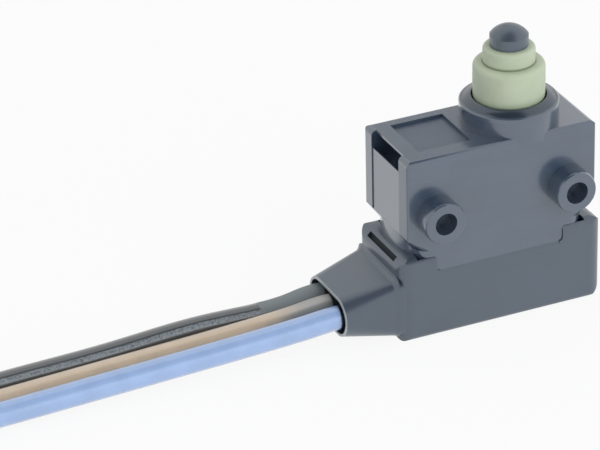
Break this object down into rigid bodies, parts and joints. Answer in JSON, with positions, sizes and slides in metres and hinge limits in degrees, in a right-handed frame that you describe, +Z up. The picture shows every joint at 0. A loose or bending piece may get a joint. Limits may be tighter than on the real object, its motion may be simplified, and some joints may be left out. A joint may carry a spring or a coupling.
{
  "type": "pushbutton micro switch",
  "caption": "Sealed snap-action micro switch with a booted plunger on top, hollow mounting pegs on the front face, and a moulded base with a side gland for three loose leads.",
  "frame": {"origin": "middle of the base's underside, below the middle of the housing", "axes": "+Z up along the plunger, X along the housing with the cable gland at -X, the face with the pegs looks to -Y"},
  "size_m": [0.1215, 0.0218, 0.0286],
  "materials": {
    "housing_plastic": "satin moulded",
    "base_plastic": "matte overmoulded",
    "button_plastic": "satin moulded",
    "boot_rubber": "soft matte",
    "carrier_plastic": "matte",
    "spring_steel": "bright",
    "terminal_brass": "bright",
    "contact_silver": "bright",
    "conductor_copper": "stranded",
    "solder_tin": "dull",
    "lead_black_pvc": "satin",
    "lead_brown_pvc": "satin",
    "lead_blue_pvc": "satin",
    "tie_plastic": "satin"
  },
  "bodies": {
    "case": {"housing": "housing_plastic", "base_overmould": "base_plastic", "sealing_boot": "boot_rubber", "operating_spring": "spring_steel", "contact_carrier": "carrier_plastic", "terminal_common": "terminal_brass", "terminal_nc": "terminal_brass", "terminal_no": "terminal_brass", "contact_nc": "contact_silver", "contact_no": "contact_silver", "conductor_black": "conductor_copper", "conductor_brown": "conductor_copper", "conductor_blue": "conductor_copper", "solder_joints": "solder_tin", "lead_black": "lead_black_pvc", "lead_brown": "lead_brown_pvc", "lead_blue": "lead_blue_pvc", "lead_hank": "lead_brown_pvc", "hank_tie": "tie_plastic"},
    "button": {"plunger": "button_plastic", "plunger_retainer": "spring_steel"},
    "blade": {"contact_blade": "terminal_brass", "moving_contact": "contact_silver"}
  },
  "joints": [
    {"name": "plunger_slide", "type": "slide", "parent": "case", "child": "button", "axis": [0, 0, -1], "range_m": [0, 0.0022], "stiffness_N_per_m": 700, "springref_m": -0.003, "deforming": ["sealing_boot", "operating_spring"]},
    {"name": "blade_swing", "type": "hinge", "parent": "case", "child": "blade", "pos_m": [-0.0052, 0, 0.012], "axis": [0, 1, 0], "range_deg": [0, 2]}
  ],
  "couplings": [
    {"joint": "blade_swing", "follows": "plunger_slide", "rad_per_m": 15.8}
  ]
}
